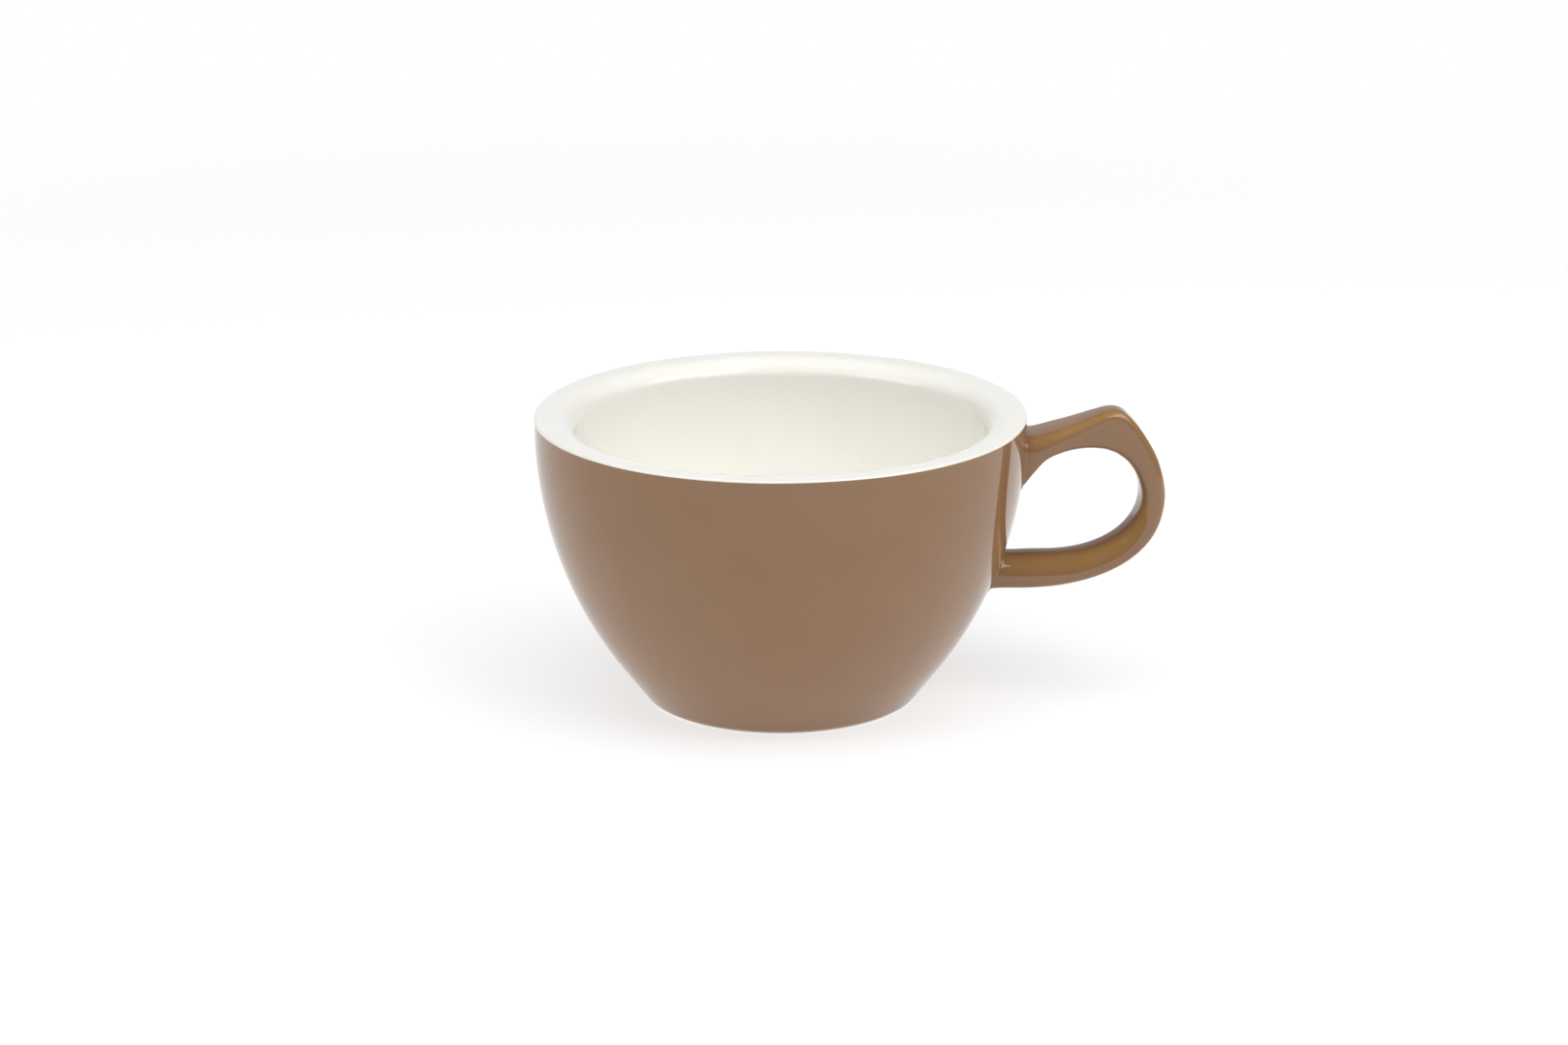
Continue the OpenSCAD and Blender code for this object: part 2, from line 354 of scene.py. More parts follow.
@dataclass
class Bowl:
    """The thick porcelain bowl with its three glaze coats."""

    form: CupForm
    segments: int = 224
    waver: float = 0.07
    waver_reach: float = 0.35
    thin_share: float = 0.3
    thin_lip: float = 0.5
    thin_foot: float = 1.0

    # Waves of the colour line round the rim: count, share of the height and lag.
    WAVES = ((3, 0.5, 0.4), (5, 0.3, 1.9), (11, 0.2, 4.1))

    def edge_waver(self, turn: float) -> float:
        """Gives how far the hand-dipped colour line strays at an angle round the rim."""
        return self.waver * sum(size * math.sin(count * turn + lag) for count, size, lag in self.WAVES)

    def body(self) -> bpy.types.Object:
        """Builds the porcelain body, bare on the ring that it stands on."""
        skin = self.form.glaze_t
        base = list(reversed(self.form.recess(skin)))
        shell = list(reversed(self.form.drink(skin)))
        piece = Bench.spun("bowl_body", base + self.form.outside(skin) + shell, self.segments)
        Bench.shade(piece, Bench.CLAY_SHARP)
        return piece

    def coat(self) -> bpy.types.Object:
        """Builds the brown coat from the bare ring up to the colour line."""
        form = self.form
        outer = cut_levels(form.outside(0), form.bare_h, form.colour_z)
        inner = cut_levels(form.outside(form.glaze_t), form.bare_h, form.colour_z)
        rounded = cut_levels(outer, form.bare_h + form.glaze_t, form.colour_z)
        outline = [inner[0]] + rounded + list(reversed(inner))
        piece = Bench.spun("bowl_coat", outline, self.segments)
        self.stray(piece)
        Bench.shade(piece, Bench.GLAZE_SHARP)
        thin_and_sheen = [self.golden_tint_share(v.co / MM) for v in piece.data.vertices]
        Bench.mark(piece, "thin_and_sheen", thin_and_sheen)
        return piece

    def golden_tint_share(self, place: Vector) -> float:
        """Gives how thin the brown coat runs at a place, most at the colour line and the foot."""
        top = smooth_step(self.thin_lip, 0.0, self.form.colour_z - place.z)
        foot = smooth_step(self.thin_foot, 0.0, place.z - self.form.bare_h)
        return self.thin_share * max(top, foot)

    def liner(self) -> bpy.types.Object:
        """Builds the white coat inside and over the lip, down to the colour line."""
        form = self.form
        outline = []
        for skin in (0.0, form.glaze_t):
            edge = [p for p in form.outside(skin) if p[1] > form.colour_z]
            ends = [(form.rim_r - skin, form.colour_z)]
            flat = line(form.drink(skin)[-1], edge[-1], form.flat_steps)[1:]
            face = form.drink(skin) + flat + list(reversed(edge)) + ends
            outline += face if skin == 0 else list(reversed(face))
        piece = Bench.spun("liner_coat", outline, self.segments)
        self.stray(piece)
        Bench.shade(piece, Bench.GLAZE_SHARP)
        return piece

    def stray(self, piece: bpy.types.Object) -> None:
        """Lets the edge of a coat stray a little up and down along the colour line."""
        for vertex in piece.data.vertices:
            level = vertex.co.z / MM
            outside = math.hypot(vertex.co.x, vertex.co.y) / MM > self.form.rim_r - self.form.edge_round
            if outside and level > self.form.arc_z:
                near = smooth_step(self.waver_reach, 0.0, abs(level - self.form.colour_z))
                vertex.co.z += near * self.edge_waver(math.atan2(vertex.co.y, vertex.co.x)) * MM

    def base(self) -> bpy.types.Object:
        """Builds the brown coat in the recess under the foot."""
        form = self.form
        visible = form.recess(0)
        hidden = form.recess(form.glaze_t)
        visible[0] = (visible[0][0], form.bare_h)
        hidden[0] = (hidden[0][0], form.bare_h)
        piece = Bench.spun("base_coat", list(reversed(visible)) + hidden, self.segments)
        Bench.shade(piece, Bench.GLAZE_SHARP)
        Bench.mark(piece, "thin_and_sheen", [0.0] * len(piece.data.vertices))
        return piece


@dataclass(frozen=True)
class Section:
    """One rounded section of the loop: centre, direction to its outer edge, half sizes and edge radii."""

    centre: Vector
    rise: Vector
    half_w: float
    half_h: float
    outer_r: float
    inner_r: float


@dataclass
class Handle:
    """The brown coat round the loop handle, seated on the bowl."""

    form: CupForm
    handle_low: float = 21.2
    thumb_rise: float = -0.3
    thumb_t: float = 7.2
    grip_t: float = 4.5
    lower_arm_t: float = 6.3
    upper_w: float = 13.0
    thumb_w: float = 6.6
    lower_w: float = 10.4
    arm_r: float = 2.9
    thumb_r: float = 1.6
    under_r: float = 1.2
    finger_r: float = 4.2
    root_round: float = 1.0
    root_depth: float = 3.0
    edge_limit_share: float = 0.94
    fillet_r: float = 0.4
    steps: int = 6
    root_steps: int = 16
    root_stretches: int = 2
    edge_segments: int = 8
    cutter_segments: int = 224
    # Painted sheen: how far an edge must face up to take the golden tint, as light from above falls there
    # and the glaze runs thin.
    run_and_sheen_from: float = -0.3
    run_and_sheen_full: float = 0.5
    crease_near: float = 0.3
    crease_far: float = 1.6

    # Stations round the loop from the upper root to the lower one. Along is a share of the reach
    # beyond the rim, up a share of the height. Width gives shares of what the upper and the lower
    # arm add at the bowl, finger the share of the way to the round edges below the finger hole.
    OUTER_SHARES = (
        (0.08, 0.877), (0.199, 0.901), (0.338, 0.933), (0.476, 0.97), (0.595, 0.998), (0.674, 0.994),
        (0.742, 0.958), (0.843, 0.861), (0.949, 0.71), (1, 0.527), (0.965, 0.359), (0.871, 0.234),
        (0.721, 0.134), (0.52, 0.06), (0.289, 0.016), (0.06, 0),
    )
    INNER_SHARES = (
        (0.038, 0.785), (0.16, 0.918), (0.33, 0.983), (0.501, 1), (0.649, 0.982), (0.727, 0.957),
        (0.795, 0.923), (0.888, 0.843), (0.964, 0.71), (1, 0.533), (0.962, 0.363), (0.858, 0.216),
        (0.703, 0.103), (0.515, 0.031), (0.3, 0.001), (0.077, 0),
    )
    WIDTH_SHARES = (
        (1, 0), (0.9, 0), (0.65, 0), (0.35, 0), (0.1, 0), (0, 0), (0, 0), (0, 0.1), (0, 0.35),
        (0, 0.6), (0, 0.75), (0, 0.85), (0, 0.92), (0, 0.97), (0, 1), (0, 1),
    )
    FINGER_SHARES = (0, 0, 0, 0, 0, 0, 0, 0, 0.05, 0.2, 0.45, 0.7, 0.9, 1, 1, 1)
    TOP_SHARES = (0.874, 0.862)
    WEB_SHARES = (0.6, 0.5)

    # Points that an upper and a lower end add to the stations.
    UPPER_POINTS = 2
    LOWER_POINTS = 3

    def __post_init__(self) -> None:
        """Takes the loop's overall sizes from the frame and works out its sections."""
        high = box_mm("handle_glaze")[1]
        self.reach: float = high.x - self.form.rim_r
        self.height: float = self.form.cup_h + self.thumb_rise - self.handle_low
        self.sections: list[Section] = self.make_sections()

    def upper_end(self, shares: Point) -> list[Vector]:
        """Gives the end of an upper edge: inside the wall, then on it."""
        wall_z, deep_z = (self.handle_low + share * self.height for share in shares)
        deep = self.form.wall_r(deep_z) - self.root_depth
        return [Vector((deep, deep_z)), Vector((self.form.wall_r(wall_z), wall_z))]

    def lower_end(self, level: float, turn: int) -> list[Vector]:
        """Gives the end of a lower edge, which turns up or down into the wall."""
        wall_z = level + turn * self.root_round
        deep_z = wall_z + turn * self.root_round
        arm = Vector((self.form.wall_r(level) + self.root_round, level))
        wall = Vector((self.form.wall_r(wall_z), wall_z))
        return [arm, wall, Vector((self.form.wall_r(deep_z) - self.root_depth, deep_z))]

    def edges(self) -> tuple[list[Vector], list[Vector]]:
        """Gives the stations of the loop's outer and inner edge, in the cup's middle plane."""
        hole_low = self.handle_low + self.lower_arm_t
        hole_h = self.height - self.thumb_t - self.lower_arm_t
        hole_reach = self.reach - self.grip_t
        rim = self.form.rim_r
        low, height, reach = self.handle_low, self.height, self.reach
        outer = [Vector((rim + a * reach, low + u * height)) for a, u in self.OUTER_SHARES]
        inner = [Vector((rim + a * hole_reach, hole_low + u * hole_h)) for a, u in self.INNER_SHARES]
        outer = self.upper_end(self.TOP_SHARES) + outer + self.lower_end(self.handle_low, -1)
        inner = self.upper_end(self.WEB_SHARES) + inner + self.lower_end(hole_low, 1)
        return outer, inner

    def smooth(self, values: list) -> list:
        """Runs a smooth curve through a list, with finer steps in the stretches at the roots.

        Args:
            values: Numbers or vectors at the stations.

        Returns:
            The curve's samples, ends included.
        """
        last = len(values) - 1
        curve = []
        for i in range(last):
            a, b = values[max(i - 1, 0)], values[i]
            c, d = values[i + 1], values[min(i + 2, last)]
            at_root = i < self.root_stretches or i >= last - self.root_stretches
            steps = self.root_steps if at_root else self.steps
            for t in (k / steps for k in range(steps)):
                bend = 2 * a - 5 * b + 4 * c - d + t * (3 * (b - c) + d - a)
                curve.append(b + t / 2 * (c - a + t * bend))
        return curve + [values[-1]]

    def make_sections(self) -> list[Section]:
        """Works out every section of the loop."""
        outer, inner = self.edges()
        shares = self.WIDTH_SHARES
        widths = self.blend(self.upper_w, self.thumb_w, self.lower_w, shares)
        outer_radii = self.blend(self.arm_r, self.thumb_r, self.under_r, shares)
        finger_shares = [(0, share) for share in self.FINGER_SHARES]
        inner_radii = self.blend(self.thumb_r, self.thumb_r, self.finger_r, finger_shares)
        rows = zip(*(self.smooth(values) for values in (outer, inner, widths, outer_radii, inner_radii)))
        sections = []
        for top, under, width, outer_r, inner_r in rows:
            half = (top - under) / 2
            outer_r = min(outer_r, half.length)
            inner_r = min(inner_r, 2 * half.length * self.edge_limit_share - outer_r)
            centre = (top + under) / 2
            sections.append(Section(centre, half.normalized(), width / 2, half.length, outer_r, inner_r))
        return sections

    @classmethod
    def blend(cls, upper: float, peak: float, lower: float, shares: Sequence[Point]) -> list[float]:
        """Runs a size from the upper arm over the thumb peak to the lower arm.

        Args:
            upper: The size of the upper arm at the bowl.
            peak: The size at the thumb peak.
            lower: The size of the lower arm at the bowl.
            shares: What the upper and the lower arm add at each station.

        Returns:
            The size at each station, and at the ends of both roots.
        """
        values = [peak + a * (upper - peak) + b * (lower - peak) for a, b in shares]
        return values[:1] * cls.UPPER_POINTS + values + values[-1:] * cls.LOWER_POINTS

    def coat(self) -> bpy.types.Object:
        """Builds the coat: sections bridged to a tube, seated on the bowl, thickened and trimmed."""
        piece = Bench.start("handle_coat")
        bpy.ops.mesh.delete(type="VERT")
        for number, section in enumerate(self.sections, 1):
            self.draw_section(section, number)
            if number > 1:
                Bench.pick((number - 1, number))
                bpy.ops.mesh.bridge_edge_loops()
        Bench.close()
        Bench.forget_numbers(piece)
        self.seat(piece)
        Bench.apply(piece, "SOLIDIFY", thickness=self.form.glaze_t * MM, offset=-1, use_rim=True)
        self.trim(piece)
        Bench.shade(piece, Bench.GLAZE_SHARP)
        # The mark carries thin glaze on the round edges and a painted sheen on those that face up.
        Bench.mark(piece, "thin_and_sheen", [self.golden_tint_share(v.co / MM, v.normal.z) for v in piece.data.vertices])
        return piece

    def draw_section(self, section: Section, number: int) -> None:
        """Adds one section: a plane at its size, with rounded corners, turned and set in place.

        Args:
            section: Its place and sizes.
            number: The number that its points get.
        """
        bpy.ops.mesh.primitive_plane_add(size=2 * MM)
        bpy.ops.transform.resize(value=(section.half_h, section.half_w, 1), center_override=(0, 0, 0))
        for side, radius in ((1, section.outer_r), (-1, section.inner_r)):
            Bench.pick((0,), side)
            bpy.ops.mesh.bevel(
                offset=radius * MM, affect="VERTICES", segments=self.edge_segments, profile=0.5
            )
        Bench.pick((0,), number=number)
        tilt = math.atan2(section.rise.y, section.rise.x)
        bpy.ops.transform.rotate(value=tilt, orient_axis="Y", center_override=(0, 0, 0))
        bpy.ops.transform.translate(value=(section.centre.x * MM, 0, section.centre.y * MM))
        bpy.ops.mesh.delete(type="ONLY_FACE")

    def gap(self, place: Vector) -> float:
        """Gives how far a place stands off the bowl's outside."""
        return (math.hypot(place.x, place.y) - self.form.wall_r(place.z)) * self.form.wall_slope(place.z)

    def seat(self, piece: bpy.types.Object) -> None:
        """Spreads the tube towards the bowl, as glaze gathers in the crease of the joint."""
        for vertex in piece.data.vertices:
            short = 1 - max(self.gap(vertex.co / MM), 0) / self.fillet_r
            if short > 0:
                spread = self.fillet_r * (1 - math.sqrt(1 - short**2))
                vertex.co += vertex.normal * spread * MM

    def trim(self, piece: bpy.types.Object) -> None:
        """Cuts the tube's ends to the bowl's outside."""
        form = self.form
        outline = [(0.0, 0.0)] + form.outside(form.glaze_t / 2) + [(0.0, form.cup_h - form.glaze_t / 2)]
        cutter = Bench.spun("root_cutter", outline, self.cutter_segments)
        Bench.clear_selection()
        bpy.context.view_layer.objects.active = piece
        piece.select_set(True)
        Bench.apply(piece, "BOOLEAN", operation="DIFFERENCE", solver="MANIFOLD", object=cutter)
        bpy.data.objects.remove(cutter)

    def golden_tint_share(self, place: Vector, upward: float) -> float:
        """Gives the golden tint's share at a place: 1 along the up-facing round edges, where the glaze ran
        thin and where a painted sheen stands in for light from above.

        Args:
            place: A point of the coat.
            upward: How much the surface faces up there, 1 for level and 0 for upright.

        Returns:
            The share of the way from the full brown to the golden tint of thin glaze and painted sheen.
        """
        flat = Vector((place.x, place.z))
        section = min(self.sections, key=lambda s: (s.centre - flat).length_squared)
        rise = (flat - section.centre).dot(section.rise)
        edge = 0.0
        for height, radius in ((rise, section.outer_r), (-rise, section.inner_r)):
            across = (abs(place.y) - section.half_w + radius) / radius
            along = (height - section.half_h + radius) / radius
            # The product is a half in the middle of a round edge.
            edge = max(edge, 2 * min(max(across, 0), 1) * min(max(along, 0), 1))
        # Painted sheen: only edges that face up take the tint, where light from above falls on them.
        drained_and_lit = smooth_step(self.run_and_sheen_from, self.run_and_sheen_full, upward)
        clear = smooth_step(self.crease_near, self.crease_far, self.gap(place))
        return min(edge, 1.0) * drained_and_lit * clear


def linear(colour: str) -> tuple[float, float, float, float]:
    """Turns an sRGB hex colour into linear numbers.

    Args:
        colour: Six hex digits after a hash.

    Returns:
        Linear red, green, blue and an alpha of 1.
    """
    parts = [int(colour[i:i + 2], 16) / 255 for i in (1, 3, 5)]
    parts = [p / 12.92 if p <= 0.04045 else ((p + 0.055) / 1.055) ** 2.4 for p in parts]
    return (*parts, 1.0)


def add_node(
    tree: bpy.types.NodeTree, kind: str, inputs: dict | None = None, **settings: object
) -> bpy.types.Node:
    """Adds a node with its settings and links.

    Args:
        tree: The material's or world's node tree.
        kind: The node's type.
        inputs: Socket name or number to a value, or to an output socket to link from.
        **settings: The node's own settings.

    Returns:
        The new node.
    """
    node = tree.nodes.new(kind)
    for key, value in settings.items():
        setattr(node, key, value)
    for key, value in (inputs or {}).items():
        if isinstance(value, bpy.types.NodeSocket):
            tree.links.new(value, node.inputs[key])
        else:
            node.inputs[key].default_value = value
    return node


def new_material(name: str) -> tuple[bpy.types.Material, bpy.types.NodeTree]:
    """Starts an empty node material.

    Args:
        name: The material's name.

    Returns:
        The material and its cleared node tree.
    """
    material = bpy.data.materials.new(name)
    material.use_nodes = True
    material.node_tree.nodes.clear()
    return material, material.node_tree


def per_metre(size_mm: float) -> float:
    """Turns the size of a pattern's cell into a texture scale."""
    return 1 / (size_mm * MM)


@dataclass(frozen=True)
class BrownGlaze:
    """Glossy brown stained glaze, dipped and fired on porcelain.

    It gives a deep even brown under a mirror-like skin, a golden tint where it breaks thin over
    edges, which on the handle's up-facing edges is also a painted sheen of light from above, faint
    clouds of pigment and a barely uneven surface.
    """

    deep: str = "#906c4b"
    light: str = "#94704f"
    # Golden tint of glaze broken thin over edges; on the handle's up-facing edges it is also a painted
    # sheen.
    thin_and_sheen: str = "#a17b4c"
    roughness: float = 0.06
    ior: float = 1.55
    cloud_mm: float = 9.0
    grain_mm: float = 0.45
    peel_mm: float = 2.2
    peel_height_mm: float = 0.012
    relief: float = 0.35
    grain_share: float = 0.35
    deep_at: float = 0.4
    light_at: float = 1.0

    def build(self) -> bpy.types.Material:
        """Makes the material."""
        material, tree = new_material("brown_stained_glaze")
        place = add_node(tree, "ShaderNodeTexCoord").outputs["Object"]
        cloud = add_node(
            tree, "ShaderNodeTexNoise",
            {"Vector": place, "Scale": per_metre(self.cloud_mm), "Detail": 3.0},
        )
        grain = add_node(
            tree, "ShaderNodeTexNoise",
            {"Vector": place, "Scale": per_metre(self.grain_mm), "Detail": 2.0},
        )
        blend = add_node(
            tree, "ShaderNodeMath",
            {0: grain.outputs["Fac"], 1: self.grain_share, 2: cloud.outputs["Fac"]},
            operation="MULTIPLY_ADD",
        )
        body = add_node(tree, "ShaderNodeValToRGB", {"Fac": blend.outputs[0]})
        stops = body.color_ramp.elements
        stops[0].position, stops[0].color = self.deep_at, linear(self.deep)
        stops[1].position, stops[1].color = self.light_at, linear(self.light)
        # Golden tint by the mesh's mark: thin glaze, and a painted sheen on the handle's up-facing edges.
        thin_and_sheen = add_node(tree, "ShaderNodeAttribute", attribute_name="thin_and_sheen")
        tint = add_node(
            tree, "ShaderNodeMix",
            {"Factor": thin_and_sheen.outputs["Fac"], 6: body.outputs["Color"], 7: linear(self.thin_and_sheen)},
            data_type="RGBA",
        )
        peel = add_node(
            tree, "ShaderNodeTexNoise",
            {"Vector": place, "Scale": per_metre(self.peel_mm), "Detail": 1.0},
        )
        bump = add_node(
            tree, "ShaderNodeBump",
            {
                "Height": peel.outputs["Fac"], "Strength": self.relief,
                "Distance": self.peel_height_mm * MM,
            },
        )
        shader = add_node(
            tree, "ShaderNodeBsdfPrincipled",
            {
                "Base Color": tint.outputs[2], "Roughness": self.roughness, "IOR": self.ior,
                "Normal": bump.outputs["Normal"],
            },
        )
        add_node(tree, "ShaderNodeOutputMaterial", {"Surface": shader.outputs[0]})
        return material


@dataclass(frozen=True)
class WhiteGlaze:
    """Glossy warm white glaze over porcelain.

    It gives a milky even white with a clear skin, slightly creamier where it lies thick.
    """

    white: str = "#fbfaf4"
    cream: str = "#faf8f0"
    roughness: float = 0.05
    ior: float = 1.5
    cloud_mm: float = 14.0
    peel_mm: float = 3.0
    peel_height_mm: float = 0.012
    relief: float = 0.3
    white_at: float = 0.35
    cream_at: float = 0.65

    def build(self) -> bpy.types.Material:
        """Makes the material."""
        material, tree = new_material("white_liner_glaze")
        place = add_node(tree, "ShaderNodeTexCoord").outputs["Object"]
        cloud = add_node(
            tree, "ShaderNodeTexNoise",
            {"Vector": place, "Scale": per_metre(self.cloud_mm), "Detail": 2.0},
        )
        body = add_node(tree, "ShaderNodeValToRGB", {"Fac": cloud.outputs["Fac"]})
        stops = body.color_ramp.elements
        stops[0].position, stops[0].color = self.white_at, linear(self.white)
        stops[1].position, stops[1].color = self.cream_at, linear(self.cream)
        peel = add_node(
            tree, "ShaderNodeTexNoise",
            {"Vector": place, "Scale": per_metre(self.peel_mm), "Detail": 1.0},
        )
        bump = add_node(
            tree, "ShaderNodeBump",
            {
                "Height": peel.outputs["Fac"], "Strength": self.relief,
                "Distance": self.peel_height_mm * MM,
            },
        )
        shader = add_node(
            tree, "ShaderNodeBsdfPrincipled",
            {
                "Base Color": body.outputs["Color"], "Roughness": self.roughness, "IOR": self.ior,
                "Normal": bump.outputs["Normal"],
            },
        )
        add_node(tree, "ShaderNodeOutputMaterial", {"Surface": shader.outputs[0]})
        return material


@dataclass(frozen=True)
class BareClay:
    """Fired clay without glaze, sponged smooth.

    It gives a dry chalky surface with fine grit and a few darker grains.
    """

    name: str
    pale: str
    dark: str
    roughness: float = 0.7
    grit_mm: float = 0.35
    grit_height_mm: float = 0.03
    relief: float = 0.5
    dark_at: float = 0.3
    pale_at: float = 0.5

    def build(self) -> bpy.types.Material:
        """Makes the material."""
        material, tree = new_material(self.name)
        place = add_node(tree, "ShaderNodeTexCoord").outputs["Object"]
        grit = add_node(
            tree, "ShaderNodeTexNoise",
            {"Vector": place, "Scale": per_metre(self.grit_mm), "Detail": 4.0},
        )
        body = add_node(tree, "ShaderNodeValToRGB", {"Fac": grit.outputs["Fac"]})
        stops = body.color_ramp.elements
        stops[0].position, stops[0].color = self.dark_at, linear(self.dark)
        stops[1].position, stops[1].color = self.pale_at, linear(self.pale)
        bump = add_node(
            tree, "ShaderNodeBump",
            {
                "Height": grit.outputs["Fac"], "Strength": self.relief,
                "Distance": self.grit_height_mm * MM,
            },
        )
        shader = add_node(
            tree, "ShaderNodeBsdfPrincipled",
            {
                "Base Color": body.outputs["Color"], "Roughness": self.roughness,
                "Normal": bump.outputs["Normal"],
            },
        )
        add_node(tree, "ShaderNodeOutputMaterial", {"Surface": shader.outputs[0]})
        return material


@dataclass(frozen=True)
class Softbox:
    """A soft lamp that looks at the cup, with or without a mirror image in the glaze."""

    name: str
    place: tuple[float, float, float]
    width: float
    height: float
    power: float
    mirrored: bool = True


@dataclass
class Studio:
    """Pale floor, soft light and the camera."""

    aim: tuple[float, float, float] = (0.0, 0.0, 0.03)
    floor_size: float = 6.0
    floor_colour: str = "#aaaaaa"
    floor_glow: float = 0.68
    paper_white: str = "#ffffff"
    shadow_reach: float = 0.3
    white_reach: float = 0.65
    room_colour: str = "#f6f8ff"
    room_light: float = 0.03
    room_shine: float = 0.06
    backdrop_axis: tuple[float, float, float] = (0.0, 0.95, -0.3)
    backdrop_edge: float = 0.66
    camera_back: float = 0.6859
    camera_height: float = 0.2449
    camera_turn: float = math.radians(3.0)
    camera_yaw: float = 0.00087
    camera_pitch: float = math.radians(17.078)
    camera_roll: float = math.radians(-0.186)
    camera_lens: float = 84.58
    camera_sensor: float = 36.0
    SOFTBOXES = (
        Softbox("right_softbox", (0.68, -0.4, 0.8), 0.95, 0.6, 5.6),
        Softbox("left_softbox", (-0.83, -0.34, 0.6), 0.75, 0.5, 2.8),
        Softbox("top_softbox", (0.0, -0.14, 1.2), 1.3, 1.0, 11.0, mirrored=False),
    )

    @staticmethod
    def seen(tree: bpy.types.NodeTree, *kinds: str) -> bpy.types.NodeSocket:
        """Tells rays of the named kinds from all others.

        Args:
            tree: The node tree to add to.
            *kinds: Outputs of the Light Path node.

        Returns:
            A socket that is 1 for those rays and 0 for others.
        """
        paths = add_node(tree, "ShaderNodeLightPath").outputs
        total = paths[kinds[0]]
        for kind in kinds[1:]:
            both = add_node(
                tree, "ShaderNodeMath", {0: total, 1: paths[kind]}, operation="ADD", use_clamp=True
            )
            total = both.outputs[0]
        return total

    def floor(self) -> None:
        """Builds the pale floor, which keeps the cup's shadow and is plain white farther off."""
        Bench.clear_selection()
        bpy.ops.mesh.primitive_plane_add(size=self.floor_size)
        piece = bpy.context.object
        piece.name = "floor"
        material, tree = new_material("pale_floor")
        paper = add_node(tree, "ShaderNodeBsdfDiffuse", {"Color": linear(self.floor_colour)})
        plain = linear(self.paper_white)
        glow = add_node(tree, "ShaderNodeEmission", {"Color": plain, "Strength": self.floor_glow})
        lit = add_node(tree, "ShaderNodeAddShader", {0: paper.outputs[0], 1: glow.outputs[0]})
        place = add_node(tree, "ShaderNodeTexCoord").outputs["Object"]
        away = add_node(tree, "ShaderNodeVectorMath", {0: place}, operation="LENGTH")
        far = add_node(
            tree, "ShaderNodeMapRange",
            {
                "Value": away.outputs["Value"], "From Min": self.shadow_reach, "From Max": self.white_reach,
                "To Max": self.seen(tree, "Is Camera Ray", "Is Glossy Ray", "Is Transmission Ray"),
            },
        )
        white = add_node(tree, "ShaderNodeEmission", {"Color": plain, "Strength": 1.0})
        sheet = add_node(
            tree, "ShaderNodeMixShader", {0: far.outputs[0], 1: lit.outputs[0], 2: white.outputs[0]}
        )
        side = add_node(tree, "ShaderNodeNewGeometry").outputs["Backfacing"]
        clear = add_node(tree, "ShaderNodeBsdfTransparent")
        both = add_node(tree, "ShaderNodeMixShader", {0: side, 1: sheet.outputs[0], 2: clear.outputs[0]})
        add_node(tree, "ShaderNodeOutputMaterial", {"Surface": both.outputs[0]})
        piece.data.materials.append(material)

    def world(self) -> None:
        """Sets a faint even light, a plain white backdrop and, for reflections, a dimmer room above it."""
        world = bpy.data.worlds.new("studio")
        bpy.context.scene.world = world
        world.use_nodes = True
        tree = world.node_tree
        tree.nodes.clear()
        towards = add_node(tree, "ShaderNodeTexCoord").outputs["Generated"]
        behind = add_node(
            tree, "ShaderNodeVectorMath", {0: towards, 1: self.backdrop_axis}, operation="DOT_PRODUCT"
        )
        cove = add_node(
            tree, "ShaderNodeMapRange",
            {"Value": behind.outputs["Value"], "From Min": self.backdrop_edge, "To Min": self.room_shine},
        )
        shiny = self.seen(tree, "Is Glossy Ray", "Is Transmission Ray")
        room = add_node(
            tree, "ShaderNodeMapRange",
            {"Value": shiny, "To Min": self.room_light, "To Max": cove.outputs[0]},
        )
        light = add_node(
            tree, "ShaderNodeBackground", {"Color": linear(self.room_colour), "Strength": room.outputs[0]}
        )
        backdrop = add_node(
            tree, "ShaderNodeBackground", {"Color": linear(self.paper_white), "Strength": 1.0}
        )
        both = add_node(
            tree, "ShaderNodeMixShader",
            {0: self.seen(tree, "Is Camera Ray"), 1: light.outputs[0], 2: backdrop.outputs[0]},
        )
        add_node(tree, "ShaderNodeOutputWorld", {"Surface": both.outputs[0]})

    def lamps(self) -> None:
        """Adds the softboxes at their places as seen from the camera, each turned towards the cup."""
        for box in self.SOFTBOXES:
            place = Matrix.Rotation(-self.camera_turn, 3, "Z") @ Vector(box.place)
            turn = (Vector(self.aim) - place).to_track_quat("-Z", "Y").to_euler()
            Bench.clear_selection()
            bpy.ops.object.light_add(type="AREA", location=place, rotation=turn)
            lamp = bpy.context.object
            lamp.name = box.name
            lamp.data.shape = "RECTANGLE"
            lamp.data.size, lamp.data.size_y = box.width, box.height
            lamp.data.energy = box.power
            lamp.visible_camera = False
            lamp.visible_glossy = box.mirrored

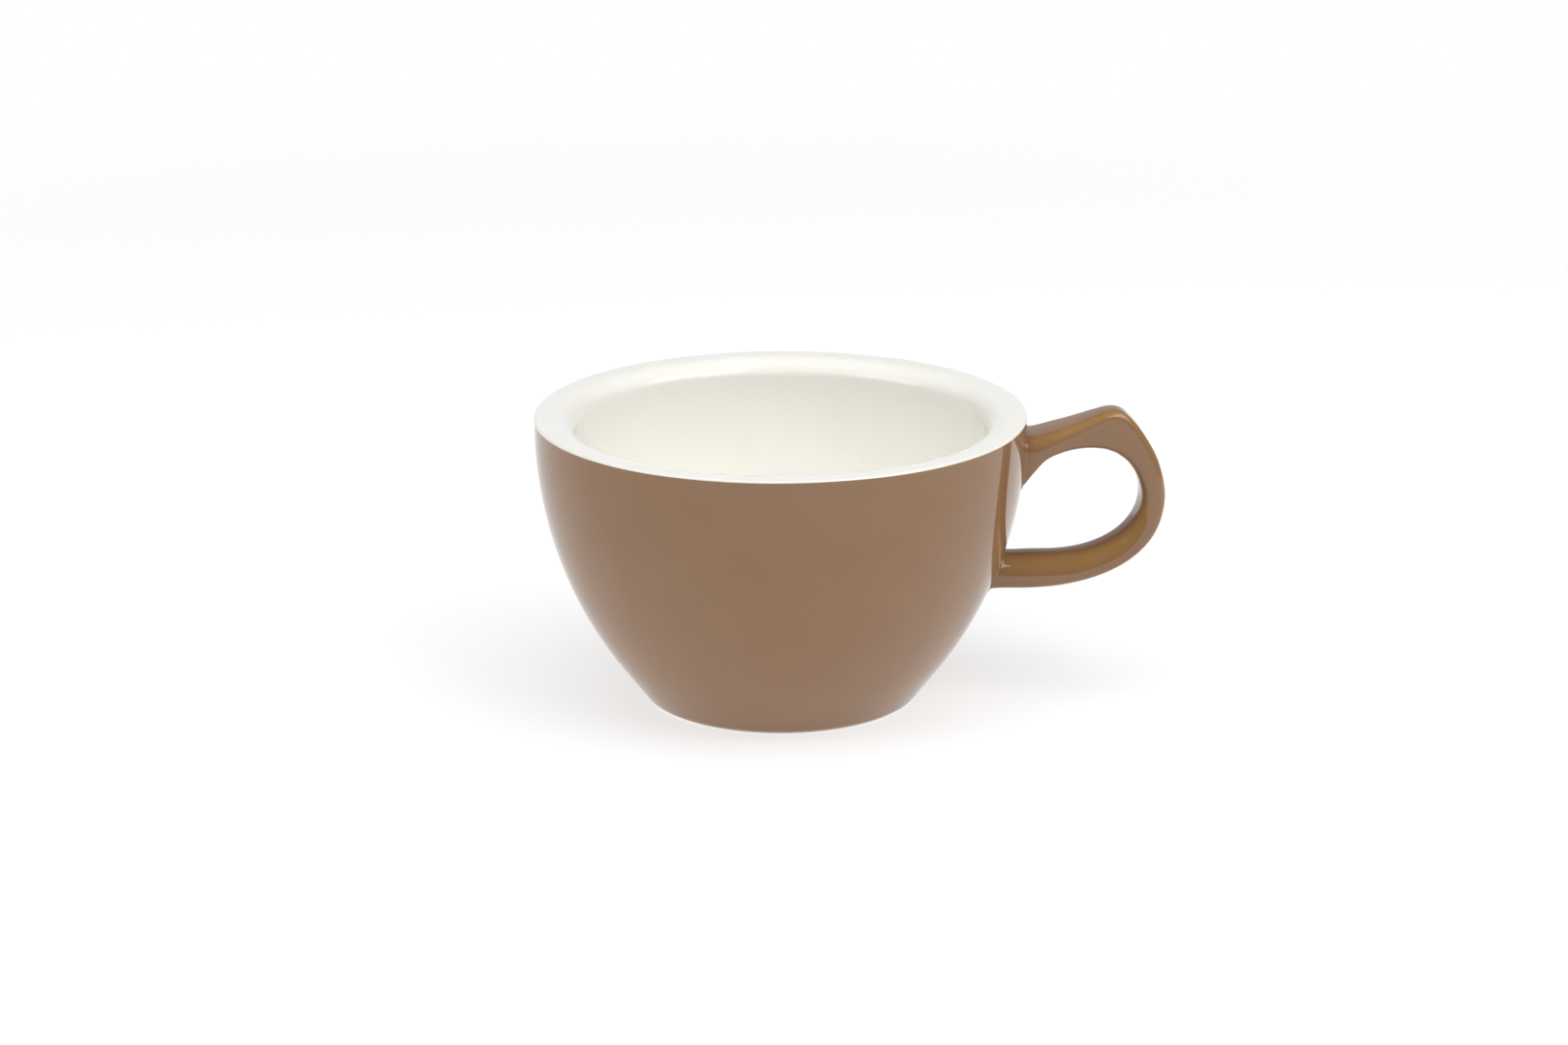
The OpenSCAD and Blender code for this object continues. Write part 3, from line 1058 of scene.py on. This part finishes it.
    def camera(self) -> None:
        """Sets the camera at the photograph's viewing angle."""
        heading = self.camera_turn + self.camera_yaw
        ahead = Vector((math.sin(heading), math.cos(heading), 0))
        level = Vector((math.cos(heading), -math.sin(heading), 0))
        up = Vector((0, 0, 1))
        forward = ahead * math.cos(self.camera_pitch) - up * math.sin(self.camera_pitch)
        raised = ahead * math.sin(self.camera_pitch) + up * math.cos(self.camera_pitch)
        right = level * math.cos(self.camera_roll) + raised * math.sin(self.camera_roll)
        top = raised * math.cos(self.camera_roll) - level * math.sin(self.camera_roll)
        Bench.clear_selection()
        bpy.ops.object.camera_add()
        camera = bpy.context.object
        camera.name = "camera"
        turn = Matrix((right, top, -forward)).transposed().to_4x4()
        place = (
            -self.camera_back * math.sin(self.camera_turn), -self.camera_back * math.cos(self.camera_turn),
            self.camera_height,
        )
        camera.matrix_world = Matrix.Translation(place) @ turn
        camera.data.lens = self.camera_lens
        camera.data.sensor_width = self.camera_sensor
        bpy.context.scene.camera = camera

    def build(self) -> None:
        """Sets up the whole studio."""
        self.floor()
        self.world()
        self.lamps()
        self.camera()
        bpy.context.scene.view_settings.view_transform = "Standard"


def dress(piece: bpy.types.Object, material: bpy.types.Material) -> None:
    """Gives a piece or a CAD node one material.

    Args:
        piece: The object to dress.
        material: Its finish.
    """
    piece.data.materials.clear()
    piece.data.materials.append(material)
    for face in piece.data.polygons:
        face.material_index = 0


def place_piece(piece: bpy.types.Object, node: str, material: bpy.types.Material) -> None:
    """Puts a new piece in the place of its CAD node.

    Args:
        piece: The finished piece.
        node: The CAD node that it stands for.
        material: Its finish.
    """
    dress(piece, material)
    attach(piece, "root")
    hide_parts(node)
    LOG.info("%s: %d faces in place of %s", piece.name, len(piece.data.polygons), node)


def main() -> None:
    """Builds the cup and its studio in order."""
    logging.basicConfig(level=logging.INFO, format="%(message)s")
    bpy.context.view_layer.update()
    brown = BrownGlaze().build()
    white = WhiteGlaze().build()
    porcelain = BareClay("bare_porcelain", "#e6e1d6", "#cfc7b8").build()
    slip = BareClay("joining_slip", "#d9cfbd", "#bfb29c").build()
    form = CupForm()
    bowl = Bowl(form)
    place_piece(bowl.body(), "bowl", porcelain)
    place_piece(bowl.liner(), "liner_glaze", white)
    place_piece(bowl.coat(), "bowl_glaze", brown)
    place_piece(bowl.base(), "base_glaze", brown)
    place_piece(Handle(form).coat(), "handle_glaze", brown)
    solids = {"handle": porcelain, "upper_handle_joint": slip, "lower_handle_joint": slip}
    for node, material in solids.items():
        dress(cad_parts[node], material)
        LOG.info("%s: CAD solid with its own finish", node)
    Studio().build()


if __name__ == "__main__":
    main()
